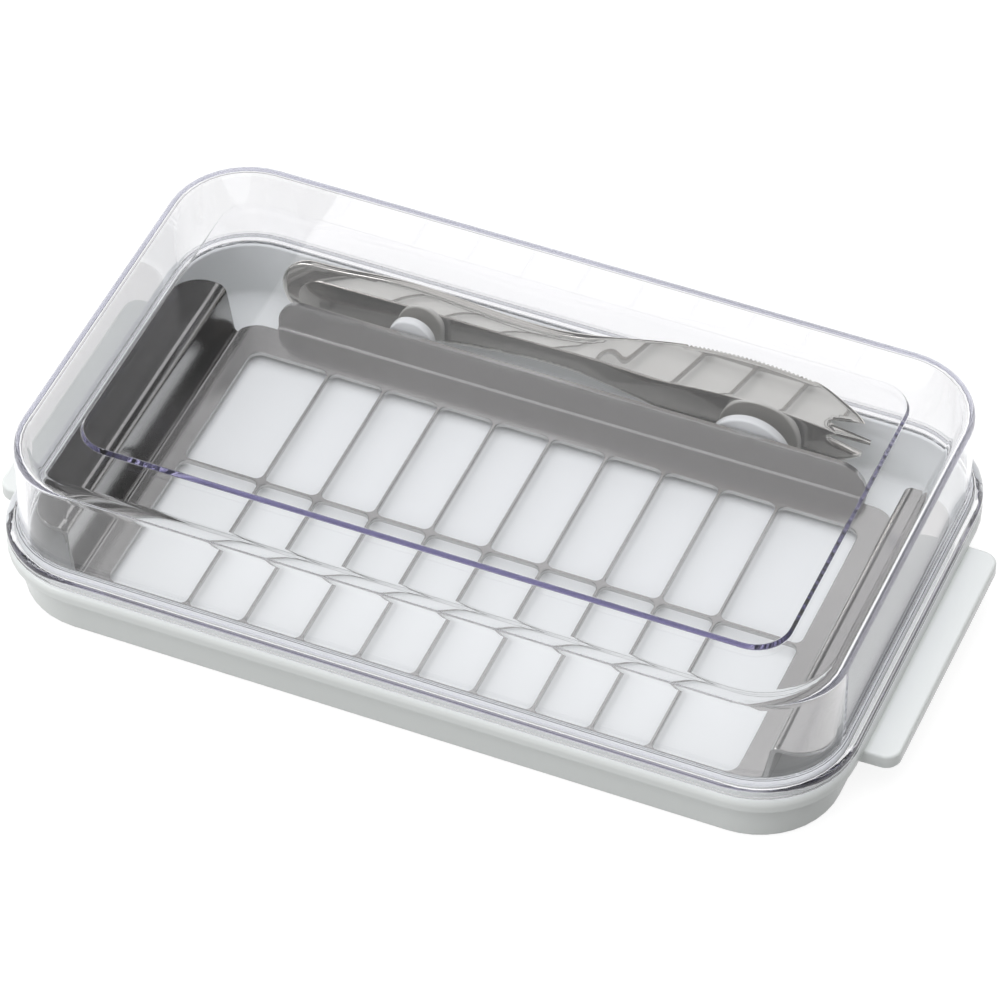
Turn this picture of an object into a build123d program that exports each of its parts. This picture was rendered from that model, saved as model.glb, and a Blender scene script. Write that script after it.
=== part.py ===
"""Butter dish with cutter: moulded tray, clear lid, slotted cutter plate and butter knife.

Units are millimetres and Z is up. The origin is the centre of the tray's underside, X runs
along the dish and Y runs from the cutter towards the bay where the knife stands on edge.
The sizes start at the butter: slices, cutter plate, lid and tray follow outwards.
"""

import os
from math import atan2, cos, degrees, radians, sin, tan

from build123d import *

os.makedirs("parts", exist_ok=True)

# Slices and cutter plate
slice_pitch = 11.5
columns = 10
end_extra = 4.8
front_row = 32.5
rear_row = 31.7
bar_width = 0.6
window_corner = 0.9
window_outer_corner = 2.5
end_margin = 5.2
front_margin = 4.7
rear_margin = 8.5
plate_corner = 5.0
sheet = 1.0
bend = 0.6
wall_lean = 1.8
wing_rise = 12.4
wing_width = 9.3
wing_corner = 6.5
wing_front_inset = 3.5
wing_rear_inset = 5.0
flange_rise = 8.4
flange_inset = 7.2
flange_corner = 5.5

# Gaps between the pieces
front_gap = 4.1
wing_gap = 0.8
post_gap = 0.8
skirt_gap = 0.3
knife_wall_gap = 2.9
knife_floor_gap = 0.05
knife_side_gap = 0.4

# Knife bay
post_thickness = 1.8
post_to_knife = 0.5
post_height = 11.6
handle_post_x = -33.3
handle_post_radius = 4.6
blade_post_x = 36.1
blade_post_radius = 8.25
stop_width = 2.0
stop_height = 6.0

# Tray
foot_recess = 0.8
foot_ring = 4.0
floor = 2.0
plate_lift = 1.1
plate_rib = 1.6
body_height = 9.5
body_draft = 0.5
body_edge = 0.8
rim_height = 3.0
rim_overhang = 2.8
rim_bead = 1.6
upstand_height = 1.9
upstand_wall = 2.4
upstand_edge = 0.3
rim_step = 0.3
cavity_draft = 6.4
floor_bevel = 1.0
tab_reach = 6.2
tab_width = 56.0
tab_thickness = 3.1
tab_corner = 3.0
tab_edge = 0.4

# Lid
lid_wall = 1.6
lid_corner = 14.6
lid_draft = 0.5
lid_height = 21.5
lid_edge = 2.5
skirt_wall = 1.6
skirt_roof = 1.5
skirt_edge = 1.8
panel_rise = 0.9
panel_inset = 11.7
panel_corner = 7.0
panel_edge = 0.6

# Knife: heights above its resting line, its handle from one end and its blade from the tip
knife_thickness = 1.8
knife_lean = 7.5
knife_length = 120.6
knife_shift = -1.6
handle_radius = 6.4
handle_bottom = 2.2
grip_from_end = 23.5
grip_top = 16.5
neck_from_end = 56.8
neck_top = 15.5
neck_bottom_from_end = 65.6
neck_bottom = 6.9
edge_length = 25.6
edge_to_tip = 12.1
edge_height = 20.85
edge_crown = 21.8
belly_to_tip = 18.3
nose_to_tip = 6.1
nose_height = 18.1
prong_length = 8.3
outer_prong_step = 1.5
outer_prong_tip = 14.5
outer_prong_under = 13.4
middle_prong_top = 12.0
middle_prong_tip = 10.9
middle_prong_tip_under = 10.15
middle_prong_under = 9.9
heel_prong_step = 1.5
heel_prong_top = 9.0
heel_prong_tip = 7.8
heel_prong_tip_under = 7.1
heel_height = 4.9
edge_bevel = 3.0
edge_land = 0.5
tooth_pitch = 0.85
tooth_depth = 0.4
prong_rounding = 0.35

# Heights that follow from the values above
floor_top = foot_recess + floor
plate_bottom = floor_top + plate_lift
plate_top = plate_bottom + sheet
wing_top = plate_bottom + wing_rise
flange_top = plate_bottom + flange_rise
rim_top = body_height + rim_height
seat = rim_top + upstand_height
lid_shoulder = seat + lid_height
lid_top = lid_shoulder + panel_rise
knife_rest = floor_top + knife_floor_gap + knife_thickness * sin(radians(knife_lean))

# Places along X, outwards from the middle
window_end = columns / 2 * slice_pitch + end_extra
wall_foot = window_end + end_margin
wing_root = wall_foot + wall_lean
wing_end = wing_root + wing_width
lid_half_length = wing_end + wing_gap
flange_half = wall_foot - flange_inset

# Places along Y, from the front of the cavity to the rear
knife_to_wall = knife_wall_gap + floor_bevel + (seat - floor_top) * tan(radians(cavity_draft))
inner_width = (
    front_gap + front_margin + front_row + bar_width + rear_row + rear_margin
    + post_gap + post_thickness + post_to_knife + knife_thickness + knife_to_wall
)
lid_half_width = inner_width / 2 + rim_step
plate_front = front_gap - inner_width / 2
window_front = plate_front + front_margin
centre_bar = window_front + front_row + bar_width / 2
window_back = centre_bar + bar_width / 2 + rear_row
plate_back = window_back + rear_margin
post_front = plate_back + post_gap
post_back = post_front + post_thickness
knife_front = post_back + post_to_knife
knife_back = knife_front + knife_thickness

# Growth of each outline beyond the lid's inner face
cavity_grow = -rim_step
upstand_grow = cavity_grow + upstand_wall
skirt_grow = upstand_grow + skirt_gap
rim_grow = skirt_grow + skirt_wall
body_grow = rim_grow - rim_overhang

# Places along the knife
knife_end = knife_shift - knife_length / 2
handle_x = knife_end + handle_radius
belly_from_end = knife_length - belly_to_tip
belly_x = knife_end + belly_from_end
edge_end = knife_length - edge_to_tip
edge_start = edge_end - edge_length
prong_root = knife_length - prong_length
outer_prong = knife_length - outer_prong_step
heel_prong = knife_length - heel_prong_step


def plan_outline(grow):
    """Rounded rectangle of the lid's inner face, grown outwards by the given distance."""
    length = 2 * (lid_half_length + grow)
    width = 2 * (lid_half_width + grow)
    return RectangleRounded(length, width, lid_corner + grow)


def knife_point(from_end, height):
    """Point of the knife's outline from its distances to the handle end and the resting line."""
    return (knife_end + from_end, knife_rest + height)


# Base tray
with BuildPart() as base_tray:
    with BuildSketch(Plane.XY):
        plan_outline(body_grow)
    extrude(amount=body_height, taper=-body_draft)
    chamfer(base_tray.edges().group_by(Axis.Z)[0], body_edge)

    # grip tabs at both ends, level with the underside of the rim
    with BuildSketch(Plane.XY.offset(body_height - tab_thickness)):
        tab_span = 2 * (lid_half_length + rim_grow + tab_reach)
        RectangleRounded(tab_span, tab_width, tab_corner)
    extrude(amount=tab_thickness)
    tab_faces = base_tray.faces().filter_by(Axis.X)
    tab_ends = tab_faces.group_by(Axis.X)[0] + tab_faces.group_by(Axis.X)[-1]
    chamfer(tab_ends.edges().filter_by(Axis.Y), tab_edge)

    # rim that carries the lid, with a rounded bead on its outer edge
    with BuildSketch(Plane.XY.offset(body_height)):
        plan_outline(rim_grow)
    extrude(amount=rim_height)
    fillet(base_tray.faces().sort_by(Axis.Z)[-1].edges(), rim_bead)
    with BuildSketch(Plane.XY.offset(body_height)):
        plan_outline(upstand_grow)
    extrude(amount=rim_height + upstand_height)
    chamfer(base_tray.faces().sort_by(Axis.Z)[-1].edges(), upstand_edge)

    # cavity, narrowing towards the floor
    with BuildSketch(Plane.XY.offset(seat)):
        plan_outline(cavity_grow)
    extrude(amount=floor_top - seat, taper=cavity_draft, mode=Mode.SUBTRACT)
    flats = base_tray.faces().filter_by(Axis.Z)
    floor_face = flats.filter_by_position(Axis.Z, floor_top - 0.1, floor_top + 0.1)
    chamfer(floor_face.edges(), floor_bevel)

    # shallow recess that leaves a foot ring
    with BuildSketch(Plane.XY):
        plan_outline(body_grow - foot_ring)
    extrude(amount=foot_recess, mode=Mode.SUBTRACT)

    # ribs that carry the end margins of the cutter plate
    rib_length = window_back - window_front
    with BuildSketch(Plane.XY.offset(floor_top - floor / 2)):
        with Locations((0, (window_front + window_back) / 2)):
            with GridLocations(window_end + wall_foot, 0, 2, 1):
                Rectangle(plate_rib, rib_length)
    extrude(amount=floor / 2 + plate_lift)

    # posts with round tops between the cutter and the knife
    with BuildSketch(Plane.XZ.offset(-post_back)):
        bottom = floor_top - floor / 2
        for middle, radius in (
            (handle_post_x, handle_post_radius),
            (blade_post_x, blade_post_radius),
        ):
            left, right = middle - radius, middle + radius
            spring = floor_top + post_height - radius
            with BuildLine():
                ThreePointArc((left, spring), (middle, spring + radius), (right, spring))
                Polyline((left, spring), (left, bottom), (right, bottom), (right, spring))
            make_face()
    extrude(amount=post_thickness)

    # ribs behind the knife that it leans on, and a saddle under its handle
    stop_top = floor_top + stop_height
    lean_run = (stop_top - knife_rest) * tan(radians(knife_lean))
    stop_front = knife_front + knife_thickness / cos(radians(knife_lean)) + lean_run + knife_side_gap
    stop_back = lid_half_width + (cavity_grow + body_grow) / 2
    with BuildSketch(Plane.XY.offset(floor_top - floor / 2)):
        for stop_x in (handle_x, belly_x):
            with Locations((stop_x, (stop_front + stop_back) / 2)):
                Rectangle(stop_width, stop_back - stop_front)
    extrude(amount=floor / 2 + stop_height)
    with BuildSketch(Plane.XY.offset(floor_top - floor / 2)):
        with Locations((handle_x, (knife_front + stop_back) / 2)):
            Rectangle(stop_width, stop_back - knife_front)
    extrude(amount=floor / 2 + handle_bottom * cos(radians(knife_lean)))
base_tray.part.label = "base_tray"
export_step(base_tray.part, "parts/base_tray.step")


# Lid
with BuildPart() as lid:
    # skirt outside the tray's upstand, rounded over at its top
    skirt_bottom = rim_top + skirt_gap
    with BuildSketch(Plane.XY.offset(skirt_bottom)):
        plan_outline(rim_grow)
    extrude(amount=seat + skirt_roof - skirt_bottom)
    fillet(lid.faces().sort_by(Axis.Z)[-1].edges(), skirt_edge)

    # wall and shoulder
    with BuildSketch(Plane.XY.offset(seat)):
        plan_outline(lid_wall)
    extrude(amount=lid_height, taper=lid_draft)
    fillet(lid.faces().sort_by(Axis.Z)[-1].edges(), lid_edge)

    # raised panel
    panel_length = 2 * (lid_half_length + lid_wall - panel_inset)
    panel_width = 2 * (lid_half_width + lid_wall - panel_inset)
    with BuildSketch(Plane.XY.offset(lid_shoulder)):
        RectangleRounded(panel_length, panel_width, panel_corner)
    extrude(amount=panel_rise)
    chamfer(lid.faces().sort_by(Axis.Z)[-1].edges(), panel_edge)

    # room for the upstand, then the inside of the lid and of its panel
    with BuildSketch(Plane.XY.offset(skirt_bottom)):
        plan_outline(skirt_grow)
    extrude(amount=seat - skirt_bottom, mode=Mode.SUBTRACT)
    with BuildSketch(Plane.XY.offset(seat)):
        plan_outline(0)
    extrude(amount=lid_height - lid_wall, taper=lid_draft, mode=Mode.SUBTRACT)
    ceiling = lid_shoulder - lid_wall
    flats = lid.faces().filter_by(Axis.Z)
    ceiling_face = flats.filter_by_position(Axis.Z, ceiling - 0.1, ceiling + 0.1)
    chamfer(ceiling_face.edges(), lid_edge - lid_wall)
lid.part.label = "lid"
export_step(lid.part, "parts/lid.step")


# Cutter plate, a bent sheet
with BuildPart() as cutter_plate:
    # cross-section along X: plate, leaning end walls and wings
    fold_line = plate_back - sheet - bend
    with BuildSketch(Plane.XZ.offset(-fold_line)):
        with BuildLine() as upper_face:
            Polyline(
                (0, plate_top),
                (wall_foot, plate_top),
                (wing_root, wing_top),
                (wing_end, wing_top),
            )
            wall_bottom = upper_face.vertices().sort_by(Axis.X)[1]
            fillet(wall_bottom, bend)
            wall_head = upper_face.vertices().sort_by_distance((wing_root, wing_top))[0]
            fillet(wall_head, bend + sheet)
            mirror(about=Plane.YZ)
            offset(amount=sheet, side=Side.RIGHT)
        make_face()
    extrude(amount=fold_line - plate_front)

    # outline of the blank seen from above, the plate and its two wings
    with BuildSketch(Plane.XY.offset(plate_bottom)):
        with Locations((0, (plate_front + fold_line) / 2)):
            RectangleRounded(2 * (wall_foot + bend), fold_line - plate_front, plate_corner)
        wing_front = plate_front + wing_front_inset
        wing_back = plate_back - wing_rear_inset
        with Locations((0, (wing_front + wing_back) / 2)):
            RectangleRounded(2 * wing_end, wing_back - wing_front, wing_corner)
    extrude(amount=wing_rise, mode=Mode.INTERSECT)

    # flange folded up along the rear edge
    with BuildSketch(Plane.YZ.offset(-flange_half)):
        with BuildLine() as flange_face:
            Polyline(
                (plate_back - rear_margin / 2, plate_top),
                (plate_back - sheet, plate_top),
                (plate_back - sheet, flange_top),
            )
            fold = flange_face.vertices().sort_by_distance((plate_back - sheet, plate_top))[0]
            fillet(fold, bend)
            offset(amount=sheet, side=Side.RIGHT)
        make_face()
    extrude(amount=2 * flange_half)
    flange_ends = cutter_plate.edges().filter_by(Axis.Y)
    flange_ends = flange_ends.filter_by_position(Axis.Z, flange_top - 0.1, flange_top + 0.1)
    fillet(flange_ends, flange_corner)

    # windows that leave the cutting bars between them
    with BuildSketch(Plane.XY.offset(plate_bottom)) as windows:
        for column in range(columns):
            left = (column - columns / 2) * slice_pitch + bar_width / 2
            right = left + slice_pitch - bar_width
            if column == 0:
                left = -window_end
            if column == columns - 1:
                right = window_end
            for front, back in (
                (window_front, centre_bar - bar_width / 2),
                (centre_bar + bar_width / 2, window_back),
            ):
                with Locations(((left + right) / 2, (front + back) / 2)):
                    Rectangle(right - left, back - front)
        corners = windows.vertices()
        end_corners = corners.group_by(Axis.X)[0] + corners.group_by(Axis.X)[-1]
        outer_corners = end_corners.group_by(Axis.Y)[0] + end_corners.group_by(Axis.Y)[-1]
        fillet(outer_corners, window_outer_corner)
        chamfer([corner for corner in corners if corner not in outer_corners], window_corner)
    extrude(amount=sheet, mode=Mode.SUBTRACT)
cutter_plate.part.label = "cutter_plate"
export_step(cutter_plate.part, "parts/cutter_plate.step")


# Butter knife, drawn upright on its back with the serrated edge up, then leant back
with BuildPart() as butter_knife:
    rise = edge_crown - edge_height
    half_chord = (edge_end - edge_start) / 2
    edge_radius = (half_chord**2 + rise**2) / (2 * rise)
    edge_middle = (edge_start + edge_end) / 2
    edge_angle = degrees(atan2(half_chord, edge_radius - rise))

    with BuildSketch(Plane.XZ.offset(-knife_back)):
        with BuildLine():
            cutting_edge = ThreePointArc(
                knife_point(edge_start, edge_height),
                knife_point(edge_middle, edge_crown),
                knife_point(edge_end, edge_height),
            )
            Spline(
                knife_point(handle_radius, handle_bottom + 2 * handle_radius),
                knife_point(grip_from_end, grip_top),
                knife_point(neck_from_end, neck_top),
                knife_point(edge_start, edge_height),
                tangents=((1, 0), cutting_edge % 0),
            )
            ThreePointArc(
                knife_point(handle_radius, handle_bottom + 2 * handle_radius),
                knife_point(0, handle_bottom + handle_radius),
                knife_point(handle_radius, handle_bottom),
            )
            Spline(
                knife_point(handle_radius, handle_bottom),
                knife_point(neck_bottom_from_end, neck_bottom),
                knife_point(belly_from_end, 0),
                tangents=((1, 0), (1, 0)),
            )
            Spline(
                knife_point(edge_end, edge_height),
                knife_point(knife_length - nose_to_tip, nose_height),
                knife_point(outer_prong, outer_prong_tip),
                tangents=(cutting_edge % 1, (1, -1.4)),
            )
            # three prongs, from the serrated side down
            Polyline(
                knife_point(outer_prong, outer_prong_tip),
                knife_point((prong_root + outer_prong) / 2, outer_prong_under + prong_rounding),
                knife_point(prong_root, outer_prong_under),
                knife_point(prong_root, middle_prong_top),
                knife_point(knife_length, middle_prong_tip),
                knife_point(knife_length, middle_prong_tip_under),
                knife_point(prong_root, middle_prong_under),
                knife_point(prong_root, heel_prong_top),
                knife_point(heel_prong, heel_prong_tip),
                knife_point(heel_prong, heel_prong_tip_under),
            )
            Spline(
                knife_point(belly_from_end, 0),
                knife_point((prong_root + heel_prong) / 2, heel_height),
                knife_point(heel_prong, heel_prong_tip_under),
                tangents=((1, 0), (1.2, 1)),
            )
        make_face()
    extrude(amount=knife_thickness)
    notches = butter_knife.edges().filter_by(Axis.Y)
    prongs = knife_end + prong_root - 0.1, knife_end + knife_length + 0.1
    notches = notches.filter_by_position(Axis.X, *prongs)
    fillet(notches, prong_rounding)

    # bevel ground on both sides along the arc of the cutting edge
    centre_x, centre_z = knife_point(edge_middle, edge_crown - edge_radius)
    arc_axis = Axis((centre_x, 0, centre_z), (0, 1, 0))
    bevel_plane = Plane.ZY.rotated((0, -edge_angle, 0))
    bevel_plane.origin = (centre_x, 0, centre_z)
    inner, outer = edge_radius - edge_bevel, edge_radius + 1
    slope = (knife_thickness - edge_land) / 2 / edge_bevel
    depth = slope * (edge_bevel + 1)
    with BuildSketch(bevel_plane):
        Polygon((inner, knife_front), (outer, knife_front), (outer, knife_front + depth), align=None)
        Polygon((inner, knife_back), (outer, knife_back), (outer, knife_back - depth), align=None)
    revolve(axis=arc_axis, revolution_arc=2 * edge_angle, mode=Mode.SUBTRACT)

    # fine teeth along the same arc
    teeth = int(radians(2 * edge_angle) * edge_radius / tooth_pitch)
    with BuildSketch(Plane.XZ.offset(-knife_back)):
        with Locations((centre_x, centre_z)):
            with PolarLocations(edge_radius, teeth, 90 - edge_angle, 2 * edge_angle):
                Polygon((0.1, tooth_pitch / 2), (-tooth_depth, 0), (0.1, -tooth_pitch / 2), align=None)
    extrude(amount=knife_thickness, mode=Mode.SUBTRACT)
foot_line = Axis((0, knife_front, knife_rest), (1, 0, 0))
leaning_knife = butter_knife.part.rotate(foot_line, -knife_lean)
leaning_knife.label = "butter_knife"
export_step(leaning_knife, "parts/butter_knife.step")
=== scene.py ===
"""Butter dish with cutter, dressed for rendering.

The tray, the clear lid, the slotted cutter plate and the butter knife are surfaces worked out
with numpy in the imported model's own frame: metres, +X along the dish, +Y towards the knife,
+Z up. The script is laid out as an add-on with one operator for each piece and for the stage.
"""

import bpy
import numpy as np
from bpy.props import FloatProperty, FloatVectorProperty, IntProperty, PointerProperty
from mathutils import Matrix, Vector
from mathutils.geometry import delaunay_2d_cdt


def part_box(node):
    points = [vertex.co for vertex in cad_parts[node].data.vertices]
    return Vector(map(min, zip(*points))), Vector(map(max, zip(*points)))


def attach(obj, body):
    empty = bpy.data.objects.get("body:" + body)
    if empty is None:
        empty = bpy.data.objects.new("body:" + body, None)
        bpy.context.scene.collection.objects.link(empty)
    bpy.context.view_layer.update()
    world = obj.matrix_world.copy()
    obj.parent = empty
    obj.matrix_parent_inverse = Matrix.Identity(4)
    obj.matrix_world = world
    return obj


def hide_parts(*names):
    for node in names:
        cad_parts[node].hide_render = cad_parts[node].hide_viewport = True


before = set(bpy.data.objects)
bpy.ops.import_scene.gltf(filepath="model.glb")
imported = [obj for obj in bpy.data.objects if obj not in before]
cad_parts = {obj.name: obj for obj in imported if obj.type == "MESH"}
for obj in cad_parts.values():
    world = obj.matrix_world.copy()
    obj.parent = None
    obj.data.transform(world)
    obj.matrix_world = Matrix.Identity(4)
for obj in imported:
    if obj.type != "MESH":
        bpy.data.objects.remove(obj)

bl_info = {
    "name": "Butter Dish",
    "version": (1, 0, 0),
    "blender": (4, 5, 0),
    "location": "View3D > Sidebar > Butter Dish",
    "description": "Builds a butter dish with a clear lid, a cutter plate and a knife",
    "category": "Add Mesh",
}

MM = 0.001
CREASE = np.radians(38)  # an edge that turns more than this is shaded sharp
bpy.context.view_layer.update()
lid_low, lid_high = (np.array(corner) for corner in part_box("lid"))
tray_high = np.array(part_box("base_tray")[1])
cutter_low, cutter_high = (np.array(corner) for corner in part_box("cutter_plate"))
knife_low, knife_high = (np.array(corner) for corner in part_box("butter_knife"))


# Sizes and colours that a user would change

class LidSettings(bpy.types.PropertyGroup):
    wall: FloatProperty(
        name="Wall", description="Thickness of the clear wall",
        default=1.6 * MM, unit="LENGTH",
    )
    corner: FloatProperty(
        name="Corner", description="Radius of the inner face's corners",
        default=14.6 * MM, unit="LENGTH",
    )
    skirt_reach: FloatProperty(
        name="Skirt reach", description="From the inner face to the skirt's outside",
        default=4.0 * MM, unit="LENGTH",
    )
    skirt_top: FloatProperty(
        name="Skirt top", description="Height where the wall meets the skirt",
        default=15.9 * MM, unit="LENGTH",
    )
    seat: FloatProperty(
        name="Seat", description="Height where the lid rests on the tray",
        default=14.4 * MM, unit="LENGTH",
    )
    panel_rise: FloatProperty(
        name="Panel rise", description="Height of the raised panel",
        default=0.9 * MM, unit="LENGTH",
    )
    panel_edge: FloatProperty(
        name="Panel edge", description="Run of the slope round the panel",
        default=0.5 * MM, unit="LENGTH",
    )
    panel_inset: FloatProperty(
        name="Panel inset", description="From the wall's outside to the panel",
        default=11.7 * MM, unit="LENGTH",
    )
    absorption: FloatProperty(
        name="Tint", description="Density of the violet tint per metre", default=12.0
    )
    tint: FloatVectorProperty(
        name="Tint colour", description="Colour that the tint lets through",
        subtype="COLOR", default=(0.21, 0.16, 0.53), min=0, max=1,
    )


class TraySettings(bpy.types.PropertyGroup):
    floor_top: FloatProperty(
        name="Floor", description="Height of the tray's floor",
        default=2.8 * MM, unit="LENGTH",
    )
    rim_low: FloatProperty(
        name="Rim underside", description="Height of the rim's lower edge",
        default=9.5 * MM, unit="LENGTH",
    )
    rim_high: FloatProperty(
        name="Rim top", description="Height of the ledge under the skirt",
        default=12.5 * MM, unit="LENGTH",
    )
    grip_width: FloatProperty(
        name="Grip width", description="Width of each end grip",
        default=56.0 * MM, unit="LENGTH",
    )
    grip_thickness: FloatProperty(
        name="Grip thickness", description="Thickness of each end grip",
        default=3.1 * MM, unit="LENGTH",
    )
    stop_height: FloatProperty(
        name="Stops", description="Height of the stops behind the knife",
        default=6.0 * MM, unit="LENGTH",
    )


class CutterSettings(bpy.types.PropertyGroup):
    slices: IntProperty(name="Slices", description="Slices along the block", default=10)
    pitch: FloatProperty(
        name="Pitch", description="From one cutting bar to the next",
        default=11.5 * MM, unit="LENGTH",
    )
    bar: FloatProperty(
        name="Bar", description="Width of a cutting bar",
        default=0.6 * MM, unit="LENGTH",
    )
    sheet: FloatProperty(
        name="Sheet", description="Thickness of the sheet",
        default=1.0 * MM, unit="LENGTH",
    )
    burr: FloatProperty(
        name="Edge", description="Width of the softened edges",
        default=0.1 * MM, unit="LENGTH",
    )


class KnifeSettings(bpy.types.PropertyGroup):
    lean: FloatProperty(
        name="Lean", description="How far the knife leans back",
        default=np.radians(7.5), subtype="ANGLE",
    )
    crown: FloatProperty(
        name="Crown", description="How much thicker each side of the handle is in its middle",
        default=0.42 * MM, unit="LENGTH",
    )
    grind: FloatProperty(
        name="Grind", description="Angle of the blade's flat grind",
        default=np.radians(4.2), subtype="ANGLE",
    )
    rounding: FloatProperty(
        name="Rounding", description="Radius of the polished edges",
        default=0.5 * MM, unit="LENGTH",
    )
    tooth: FloatProperty(
        name="Tooth", description="Pitch of the teeth",
        default=0.85 * MM, unit="LENGTH",
    )


# Outlines and profiles, worked out as arrays

def rounded_ring(half_length, half_width, radius, steps=10, ease=0.3 * MM):
    """Rounded rectangles, one for each value given, anticlockwise from the +X side.

    Each corner is a quarter circle of the radius round its own centre, and one more point
    stands a small step out on the straight at each end of it, so the flats shade flat.
    """
    half_length, half_width, radius = np.broadcast_arrays(half_length, half_width, radius)
    turn = np.linspace(0, np.pi / 2, steps + 1)
    corners = []
    for quarter, (sign_x, sign_y) in enumerate(((1, 1), (-1, 1), (-1, -1), (1, -1))):
        angle = turn + quarter * np.pi / 2
        unit = np.stack([np.cos(angle), np.sin(angle)], -1)
        centre = np.stack([sign_x * (half_length - radius), sign_y * (half_width - radius)], -1)
        arc = centre[..., None, :] + radius[..., None, None] * unit
        along = np.stack([-np.sin(angle[[0, -1]]), np.cos(angle[[0, -1]])], -1)
        before = arc[..., :1, :] - ease * along[0]
        after = arc[..., -1:, :] + ease * along[1]
        corners.append(np.concatenate([before, arc, after], -2))
    return np.concatenate(corners, -2)


def rounded_path(corners, radii, steps=6, ease=0.06 * MM):
    """A run of straight lines through the corners, each rounded by an arc of its radius.

    An arc starts one tangent length before its corner, the radius divided by the tangent of
    half the angle between the lines, and one more point stands a small step out on each
    straight. The first and the last corner are the path's ends.
    """
    corners = np.array(corners, float)
    points = [corners[:1]]
    for here, radius in zip(range(1, len(corners) - 1), radii):
        middle = corners[here]
        back = corners[here - 1] - middle
        ahead = corners[here + 1] - middle
        back /= np.linalg.norm(back)
        ahead /= np.linalg.norm(ahead)
        half = np.arccos(np.clip(back @ ahead, -1, 1)) / 2
        reach = radius / np.tan(half)
        bisector = (back + ahead) / np.linalg.norm(back + ahead)
        centre = middle + bisector * radius / np.sin(half)
        start = middle + back * reach - centre
        end = middle + ahead * reach - centre
        sweep = np.arccos(np.clip(start @ end / radius**2, -1, 1))
        share = np.linspace(0, 1, steps + 1)[:, None]
        arc = (np.sin((1 - share) * sweep) * start + np.sin(share * sweep) * end) / np.sin(sweep)
        points.append(middle + [back * (reach + ease)])
        points.append(centre + arc)
        points.append(middle + [ahead * (reach + ease)])
    points.append(corners[-1:])
    return np.concatenate(points)


def sides(points):
    """Unit vectors square to a closed outline's points, to the right of its direction.

    The direction at a point runs from the point before it to the point after it.
    """
    along = np.roll(points, -1, 0) - np.roll(points, 1, 0)
    along /= np.linalg.norm(along, axis=1)[:, None]
    return np.stack([along[:, 1], -along[:, 0]], -1)


def smooth_run(points, start, end, steps=24):
    """A smooth curve through the points that leaves and arrives along two directions.

    Each span is a cubic in the chord length, and the directions at the inner points make the
    curve's bend continuous there.
    """
    points = np.array(points, float)
    chord = np.linalg.norm(np.diff(points, axis=0), axis=1)
    slope = np.diff(points, axis=0) / chord[:, None]
    count = len(points)
    system, known = np.eye(count), np.zeros((count, 2))
    known[0] = np.array(start) / np.linalg.norm(start)
    known[-1] = np.array(end) / np.linalg.norm(end)
    for i in range(1, count - 1):
        system[i, i - 1:i + 2] = 1 / chord[i - 1], 2 / chord[i - 1] + 2 / chord[i], 1 / chord[i]
        known[i] = 3 * (slope[i - 1] / chord[i - 1] + slope[i] / chord[i])
    speed = np.linalg.solve(system, known)
    share = np.linspace(0, 1, steps, endpoint=False)[:, None]
    from_here = 2 * share**3 - 3 * share**2 + 1
    to_next = 3 * share**2 - 2 * share**3
    leaving = share**3 - 2 * share**2 + share
    arriving = share**3 - share**2
    spans = [
        from_here * points[i] + to_next * points[i + 1]
        + chord[i] * (leaving * speed[i] + arriving * speed[i + 1])
        for i in range(count - 1)
    ]
    return np.concatenate(spans + [points[-1:]])


def arc_points(centre, radius, start, end, steps=8):
    """Points on a circle from one angle to another, both in degrees: the centre plus the
    radius times the cosine and the sine of evenly spaced angles."""
    angle = np.radians(np.linspace(start, end, steps + 1))
    return np.array(centre) + radius * np.stack([np.cos(angle), np.sin(angle)], -1)


def travelled(path):
    """The distance along a path from its start to each of its points."""
    steps = np.linalg.norm(np.diff(path, axis=0), axis=1)
    return np.concatenate([[0], np.cumsum(steps)])


def distance_to(outline, points):
    """The distance from each point to the nearest stretch of a closed outline.

    The foot of the perpendicular on each stretch is held between the stretch's ends.
    """
    run = np.roll(outline, -1, 0) - outline
    share = np.sum((points[:, None] - outline) * run, -1) / np.maximum(np.sum(run**2, -1), 1e-12)
    nearest = outline + np.clip(share, 0, 1)[..., None] * run
    return np.linalg.norm(points[:, None] - nearest, axis=-1).min(1)


# Meshes

def new_object(name, points, faces, material, body, slot, *nodes):
    """A finished piece from its points and faces, smooth except along sharp edges."""
    mesh = bpy.data.meshes.new(name)
    mesh.from_pydata(points.reshape(-1, 3).tolist(), [], faces)
    mesh.materials.append(material)
    mesh.polygons.foreach_set("use_smooth", np.ones(len(mesh.polygons), bool))
    mesh.set_sharp_from_angle(angle=CREASE)
    mesh.validate()
    mesh.update()
    piece = bpy.data.objects.new(name, mesh)
    bpy.context.scene.collection.objects.link(piece)
    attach(piece, body)
    if nodes:
        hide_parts(*nodes)
    return piece


def ring_faces(rings, count):
    """Quads between each ring and the next, and one face over the first and the last ring."""
    ring, step = np.meshgrid(np.arange(rings - 1), np.arange(count), indexing="ij")
    here = ring * count + step
    beside = ring * count + (step + 1) % count
    quads = np.stack([here, here + count, beside + count, beside], -1).reshape(-1, 4)
    first = list(range(count))
    last = list(range((rings - 1) * count, rings * count))[::-1]
    return quads.tolist() + [first, last]


def carried_profile(profile, outline):
    """A profile carried round a rounded rectangle, one ring for each of its points.

    A point holds an outward growth, a height and an extra corner radius. The growth is added
    to the half-length, the half-width and the corner radius, and the extra to the radius.
    """
    half_length, half_width, corner = outline
    grow, height, extra = profile.T
    ring = rounded_ring(half_length + grow, half_width + grow, corner + grow + extra)
    level = np.broadcast_to(height[:, None, None], ring.shape[:2] + (1,))
    return np.concatenate([ring, level], -1)


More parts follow.
